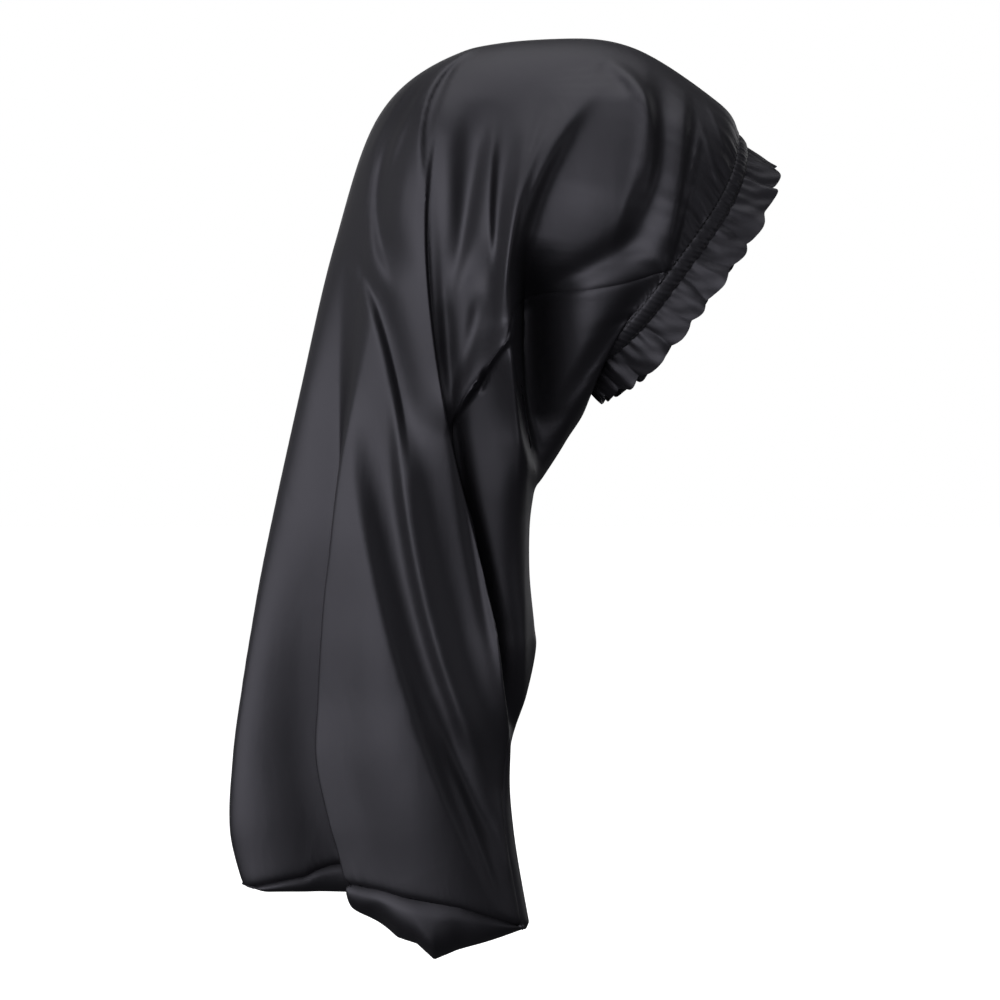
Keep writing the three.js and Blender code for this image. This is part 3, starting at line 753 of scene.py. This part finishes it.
def casing_grids(context):
    """The casing's outer and inner points, gathered on the elastic and drawn in at each stitch."""
    t, b = context.scene.bonnet_trim, context.scene.bonnet
    gap, width = -b.seam_lap / MM, t.casing_width / MM
    u = np.linspace(0, 1, CASING_ROWS)
    profile = [(gap + width * k, -CASING_INSET + CASING_BULGE * math.sin(math.pi * k) ** 0.7) for k in u]

    def gathers(turn, u):
        lean = 0.6 * even(turn, 11) * (u - 0.5)
        wave = 0.5 * np.sin(uneven(turn, 83, 1.0) + lean) + 0.35 * np.sin(uneven(turn, 47, 2.3) - 2 * lean)
        fine = 0.3 * np.sin(uneven(turn, 151, 0.4) + 5 * u)
        sewn = math.exp(-(((min(u, 1 - u) - STITCHED_ROWS[0] / (CASING_ROWS - 1)) / STITCH_PULL) ** 2))
        drawn = STITCH_DEPTH * sewn * (0.6 + 0.4 * np.cos(2 * np.pi * t.stitches * turn))
        height = CASING_GATHER * (wave + fine) * (0.55 + 0.45 * math.sin(math.pi * u))
        return CASING_SHIFT * fine, height - drawn

    return rim_band(profile, CASING_POINTS, CASING_WALL, gathers)


LEAST_STITCH = 0.85  # a stitch's least and greatest size, as a share of the given one
GREATEST_STITCH = 1.1
STITCH_SEED = 4


def stitch_tree():
    """Stitches along a line: named inputs for their count, length, thickness and material."""
    tree = bpy.data.node_groups.new("Stitches", "GeometryNodeTree")
    for name, kind in (
        ("Line", "NodeSocketGeometry"),
        ("Count", "NodeSocketInt"),
        ("Length", "NodeSocketFloat"),
        ("Thickness", "NodeSocketFloat"),
        ("Material", "NodeSocketMaterial"),
    ):
        tree.interface.new_socket(name, in_out="INPUT", socket_type=kind)
    tree.interface.new_socket("Stitches", in_out="OUTPUT", socket_type="NodeSocketGeometry")
    n = Nodes(tree)
    line = n.add("NodeGroupInput")
    count, length, thick, material = (Value(n, line.socket.node.outputs[k]) for k in range(1, 5))
    curve = n.add("GeometryNodeMeshToCurve", None, line)
    curve = n.add("GeometryNodeResampleCurve", None, curve, Count=count)
    ball = n.add("GeometryNodeMeshUVSphere", None, 8, 5, 0.5)
    size = n.add("ShaderNodeCombineXYZ", None, thick, thick, length)
    stitch = n.add("GeometryNodeTransform", None, ball, Scale=size)
    tangent = n.add("GeometryNodeInputTangent")
    lie = n.add("FunctionNodeAlignRotationToVector", {"axis": "Z"}, Vector=tangent)
    even = n.add("FunctionNodeRandomValue", {"data_type": "FLOAT"}, output=1)
    random = even.socket.node
    random.inputs[2].default_value = LEAST_STITCH
    random.inputs[3].default_value = GREATEST_STITCH
    random.inputs["Seed"].default_value = STITCH_SEED
    placed = n.add("GeometryNodeInstanceOnPoints", None, curve, Instance=stitch, Rotation=lie, Scale=even)
    whole = n.add("GeometryNodeRealizeInstances", None, placed)
    done = n.add("GeometryNodeSetMaterial", None, whole, Material=material)
    n.add("NodeGroupOutput", None, done)
    return tree


class BONNET_OT_casing(bpy.types.Operator):
    """Add the gathered casing that holds the elastic"""

    bl_idname = "bonnet.casing"
    bl_label = "Elastic casing"

    def execute(self, context):
        mesh = wall_mesh("elastic_casing_satin", *casing_grids(context), True)
        add_sheet(mesh, "elastic_casing")
        return {"FINISHED"}


class BONNET_OT_stitches(bpy.types.Operator):
    """Add the two rows of stitches that hold the casing"""

    bl_idname = "bonnet.stitches"
    bl_label = "Stitches"

    def execute(self, context):
        t = context.scene.bonnet_trim
        outer = casing_grids(context)[0]
        points, edges = [], []
        for row in STITCHED_ROWS:
            first, count = len(points), len(outer[row])
            points += (outer[row] * MM).tolist()
            edges += [(first + k, first + (k + 1) % count) for k in range(count)]
        line = bpy.data.meshes.new("casing_stitches")
        line.from_pydata(points, edges, [])
        piece = bpy.data.objects.new("casing_stitches", line)
        context.collection.objects.link(piece)
        thread = thread_material("thread")
        values = {"Count": t.stitches, "Length": t.stitch, "Thickness": t.thread, "Material": thread}
        tree = stitch_tree()
        modifier = piece.modifiers.new("Stitches", "NODES")
        modifier.node_group = tree
        for item in tree.interface.items_tree:
            if item.in_out == "INPUT" and item.name in values:
                modifier[item.identifier] = values[item.name]
        context.view_layer.update()
        made = piece.evaluated_get(context.evaluated_depsgraph_get())
        mesh = bpy.data.meshes.new_from_object(made)
        piece.modifiers.remove(modifier)
        piece.data = mesh
        mesh.name = "casing_stitches"
        mesh.shade_smooth()
        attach(piece, "root")
        return {"FINISHED"}


WAVE_LEAN = 0.4  # how much the ruffle's waves lean on their way out
WAVE_ROUND = 0.012  # how round the folds between them are
WAVE_REACH = 2.6  # how much further out a wave reaches than those folds
WAVE_CURL = 0.5
PUCKER = 1.6  # small gathers at the casing
CRUMPLE = 1.7  # and crumples towards the edge
SMALL_FOLDS = 0.35  # height of both


class BONNET_OT_ruffle(bpy.types.Operator):
    """Add the ruffle round the face opening"""

    bl_idname = "bonnet.ruffle"
    bl_label = "Ruffle"

    def execute(self, context):
        t, b = context.scene.bonnet_trim, context.scene.bonnet
        start = t.casing_width / MM - 2 * b.seam_lap / MM
        width, swing = t.ruffle_width / MM, t.swing / MM
        u = np.linspace(0, 1, RUFFLE_ROWS)
        profile = [(start + width * k, RUFFLE_FLARE * k - CASING_INSET - RUFFLE_INSET) for k in u]

        def waves(turn, u):
            phase = uneven(turn, t.waves, 2.0) / 2 + WAVE_LEAN * u * even(turn, 11, 2 * u)
            lobe = np.sqrt(np.sin(phase) ** 2 + WAVE_ROUND)
            size = 1 + 0.35 * even(turn, 7, 1) + 0.25 * even(turn, 17)
            crumple = np.sin(uneven(turn, 29, 1.0) + 4 * u) * even(turn, 9, 5 * u) * u
            small = PUCKER * np.sin(uneven(turn, 67, 1.0) + 2 * u) * (1 - u) ** 2 + CRUMPLE * crumple
            curl = WAVE_CURL * np.sin(2 * phase + 0.8) * u
            stands = swing * size * (1.7 * (lobe - 0.55) * u**0.8 + curl)
            return WAVE_REACH * (lobe - 0.7) * u**2, stands + SMALL_FOLDS * small

        outer, inner = rim_band(profile, RUFFLE_POINTS, RUFFLE_WALL, waves)
        mesh = wall_mesh("ruffle_satin", outer, inner, True)
        add_sheet(mesh, "ruffle")
        return {"FINISHED"}


FLOOR_Z = -0.64  # just under the bag
FLOOR_REACH = 40.0
LIT_POINT = (0, 0.06, -0.28)
AIM_POINT = (0, 0.064, -0.2912)  # middle of the picture

# Softboxes: name, position, side and radiance
LIGHTS = (
    ("left softbox", (-1.3, 1.7, 0.1), 2.0, 2.0),
    ("front softbox", (-2.4, 0.6, 0.2), 1.9, 1.15),
    ("top softbox", (-0.1, 0.1, 1.6), 2.0, 1.35),
    ("right softbox", (-0.9, -1.9, -0.2), 1.0, 0.65),
    ("left rear softbox", (1.2, 1.9, 0.2), 1.8, 0.3),
    ("right rear softbox", (1.6, -1.3, 0.2), 1.2, 1.0),
    ("far softbox", (2.4, 0.5, 0.3), 1.6, 0.7),
    ("low softbox", (-1.3, 0.9, -0.95), 0.9, 0.9),
)


class BONNET_OT_stage(bpy.types.Operator):
    """Add the floor, the studio lights and the camera"""

    bl_idname = "bonnet.stage"
    bl_label = "Stage"

    def execute(self, context):
        scene, s = context.scene, context.scene.bonnet_stage
        scene.view_settings.view_transform = "Standard"
        pale, n = new_material("pale floor")
        place = n.add("ShaderNodeTexCoord", None, output=3)
        speckle = n.add("ShaderNodeTexNoise", None, place, Scale=60.0, Detail=2.0)
        shader = n.add(
            "ShaderNodeBsdfPrincipled",
            None,
            Base_Color=(*s.floor_colour, 1.0),
            Roughness=0.85 + 0.1 * speckle,
            Emission_Color=(1.0, 1.0, 1.0, 1.0),
            Emission_Strength=1.0,
        )
        n.add("ShaderNodeOutputMaterial", None, shader)
        mesh = bpy.data.meshes.new("floor")
        corners = ((-1, -1), (1, -1), (1, 1), (-1, 1))
        mesh.from_pydata([(x * FLOOR_REACH, y * FLOOR_REACH, FLOOR_Z) for x, y in corners], [], [(0, 1, 2, 3)])
        mesh.materials.append(pale)
        floor = bpy.data.objects.new("floor", mesh)
        floor.visible_glossy = False
        floor.visible_diffuse = False
        floor.visible_shadow = False
        context.collection.objects.link(floor)
        world = bpy.data.worlds.new("studio")
        scene.world = world
        world.use_nodes = True
        n = Nodes(world.node_tree)
        dim = n.add("ShaderNodeBackground", None, (0.04, 0.04, 0.043, 1.0))
        white = n.add("ShaderNodeBackground", None, (1.0, 1.0, 1.0, 1.0))
        seen = n.add("ShaderNodeLightPath")
        n.add("ShaderNodeOutputWorld", None, n.add("ShaderNodeMixShader", None, seen, dim, white))
        target = Vector(LIT_POINT)
        for name, position, size, radiance in LIGHTS:
            data = bpy.data.lights.new(name, "AREA")
            data.size = size
            data.energy = radiance * math.pi * size**2
            lamp = bpy.data.objects.new(name, data)
            lamp.location = position
            lamp.visible_camera = False
            lamp.rotation_euler = (target - Vector(position)).to_track_quat("-Z", "Y").to_euler()
            context.collection.objects.link(lamp)
        camera = bpy.data.cameras.new("camera")
        camera.lens = s.lens
        camera.sensor_width = 36
        eye = bpy.data.objects.new("camera", camera)
        aim = Vector(AIM_POINT)
        eye.location = aim + Vector((-s.distance, 0, 0))
        eye.rotation_euler = (aim - eye.location).to_track_quat("-Z", "Y").to_euler()
        context.collection.objects.link(eye)
        scene.camera = eye
        return {"FINISHED"}


class BONNET_PT_panel(bpy.types.Panel):
    bl_label = "Satin Bonnet"
    bl_idname = "BONNET_PT_panel"
    bl_space_type = "VIEW_3D"
    bl_region_type = "UI"
    bl_category = "Bonnet"

    def draw(self, context):
        for group in (context.scene.bonnet, context.scene.bonnet_trim, context.scene.bonnet_stage):
            box = self.layout.box()
            for name in group.__annotations__:
                box.prop(group, name)
        for operator in OPERATORS:
            self.layout.operator(operator.bl_idname)


OPERATORS = (
    BONNET_OT_stage,
    BONNET_OT_top_panel,
    BONNET_OT_under_panel,
    BONNET_OT_casing,
    BONNET_OT_stitches,
    BONNET_OT_ruffle,
)
CLASSES = (BonnetSettings, TrimSettings, StageSettings, *OPERATORS, BONNET_PT_panel)


def register():
    for cls in CLASSES:
        bpy.utils.register_class(cls)
    bpy.types.Scene.bonnet = PointerProperty(type=BonnetSettings)
    bpy.types.Scene.bonnet_trim = PointerProperty(type=TrimSettings)
    bpy.types.Scene.bonnet_stage = PointerProperty(type=StageSettings)


def unregister():
    for name in ("bonnet", "bonnet_trim", "bonnet_stage"):
        delattr(bpy.types.Scene, name)
    for cls in reversed(CLASSES):
        bpy.utils.unregister_class(cls)


def main():
    register()
    bpy.ops.bonnet.stage()
    bpy.ops.bonnet.top_panel()
    bpy.ops.bonnet.under_panel()
    bpy.ops.bonnet.casing()
    bpy.ops.bonnet.stitches()
    bpy.ops.bonnet.ruffle()


if __name__ == "__main__":
    main()
